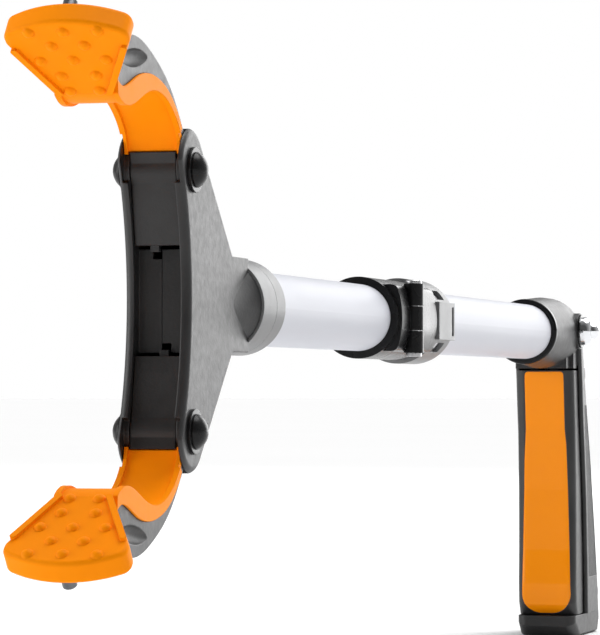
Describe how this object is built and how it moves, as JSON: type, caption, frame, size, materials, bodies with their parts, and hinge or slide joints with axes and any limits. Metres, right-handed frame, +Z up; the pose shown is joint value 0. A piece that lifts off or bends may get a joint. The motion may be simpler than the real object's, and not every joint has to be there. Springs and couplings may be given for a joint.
{
  "type": "reacher grabber",
  "caption": "Folding pick-up reacher with a pistol grip and trigger, round shaft with side hinge, swivelling head and two padded curved jaws.",
  "frame": {"origin": "on the shaft axis, midway along the bare rear tube, where a 22 mm clip holds it", "axes": "+X along the shaft from the handle to the jaws, +Z up with the grip hanging down, +Y to the side that the shaft folds towards"},
  "size_m": [0.6687, 0.046, 0.1996],
  "materials": {
    "grained_black": "fine grained black moulding",
    "gloss_black": "smooth satin to gloss black moulding",
    "orange_grip": "soft satin orange overmould",
    "orange_gloss": "smooth orange moulding",
    "silver_tube": "satin silver-white coat",
    "light_grey": "satin light grey moulding",
    "panel_black": "textured grip panel",
    "chrome": "polished",
    "dark_steel": "dark plated steel",
    "steel": "bright steel"
  },
  "bodies": {
    "handle": {"rear_tube": "silver_tube", "rear_hinge_sleeve": "gloss_black", "fold_hinge_pin": "steel", "spring_seat_ring": "gloss_black", "fold_lock_spring": "steel", "handle_shell_left": "grained_black", "handle_shell_right": "grained_black", "handle_screws": "dark_steel", "grip_panel_left": "panel_black", "grip_panel_right": "panel_black", "handle_front_ring": "gloss_black", "handle_base_cap": "grained_black", "trigger_bolt": "steel", "trigger_bolt_washers": "gloss_black", "trigger_bolt_domes": "chrome", "trigger_return_spring": "steel", "cable_roller": "gloss_black", "cable_roller_pin": "steel"},
    "trigger": {"trigger_lever": "grained_black", "trigger_insert": "orange_gloss", "cable_anchor": "steel", "cable_tail": "steel"},
    "rear_cable": {"cable_rear": "steel"},
    "fold_lock": {"fold_lock_collar": "light_grey"},
    "front_shaft": {"front_tube": "silver_tube", "front_hinge_sleeve": "gloss_black", "swivel_bush": "gloss_black"},
    "front_cable": {"cable_front": "steel"},
    "head": {"swivel_collar": "light_grey", "head_shell_left": "grained_black", "head_shell_right": "grained_black", "head_screws": "dark_steel", "jaw_pivot_pin_upper": "steel", "jaw_pivot_pin_lower": "steel", "jaw_pivot_washers": "gloss_black", "jaw_pivot_caps": "gloss_black"},
    "puller": {"crosshead": "gloss_black", "pull_fork": "steel"},
    "upper_jaw": {"jaw_arm_upper": "grained_black", "jaw_cover_upper": "orange_grip", "tip_magnet_upper": "dark_steel"},
    "lower_jaw": {"jaw_arm_lower": "grained_black", "jaw_cover_lower": "orange_grip", "tip_magnet_lower": "dark_steel"}
  },
  "joints": [
    {"name": "trigger_squeeze", "type": "hinge", "parent": "handle", "child": "trigger", "pos_m": [-0.1405, 0, 0.0008], "axis": [0, 1, 0], "range_deg": [0, 10], "stiffness_Nm_per_rad": 3, "springref_deg": -5.73},
    {"name": "rear_cable_pull", "type": "slide", "parent": "handle", "child": "rear_cable", "axis": [-1, 0, 0], "range_m": [0, 0.0038]},
    {"name": "front_cable_pull", "type": "slide", "parent": "front_shaft", "child": "front_cable", "axis": [-1, 0, 0], "range_m": [0, 0.0038]},
    {"name": "puller_slide", "type": "slide", "parent": "head", "child": "puller", "axis": [-1, 0, 0], "range_m": [0, 0.0038]},
    {"name": "upper_jaw_close", "type": "hinge", "parent": "head", "child": "upper_jaw", "pos_m": [0.394, 0, 0.0352], "axis": [0, 1, 0], "range_deg": [0, 43.1]},
    {"name": "lower_jaw_close", "type": "hinge", "parent": "head", "child": "lower_jaw", "pos_m": [0.394, 0, -0.0352], "axis": [0, -1, 0], "range_deg": [0, 43.1]},
    {"name": "shaft_fold", "type": "hinge", "parent": "handle", "child": "front_shaft", "pos_m": [0.16, 0.0148, 0], "axis": [0, 0, 1], "range_deg": [0, 166]},
    {"name": "fold_lock_slide", "type": "slide", "parent": "handle", "child": "fold_lock", "axis": [-1, 0, 0], "range_m": [0, 0.008], "stiffness_N_per_m": 400, "springref_m": -0.004, "deforming": ["fold_lock_spring"]},
    {"name": "head_swivel", "type": "hinge", "parent": "front_shaft", "child": "head", "pos_m": [0.33, 0, 0], "axis": [1, 0, 0], "range_deg": [-90, 90]}
  ],
  "couplings": [
    {"joint": "rear_cable_pull", "follows": "trigger_squeeze", "m_per_rad": 0.021486},
    {"joint": "front_cable_pull", "follows": "trigger_squeeze", "m_per_rad": 0.021486},
    {"joint": "puller_slide", "follows": "trigger_squeeze", "m_per_rad": 0.021486},
    {"joint": "upper_jaw_close", "follows": "trigger_squeeze", "ratio": 4.3},
    {"joint": "lower_jaw_close", "follows": "trigger_squeeze", "ratio": 4.3}
  ]
}
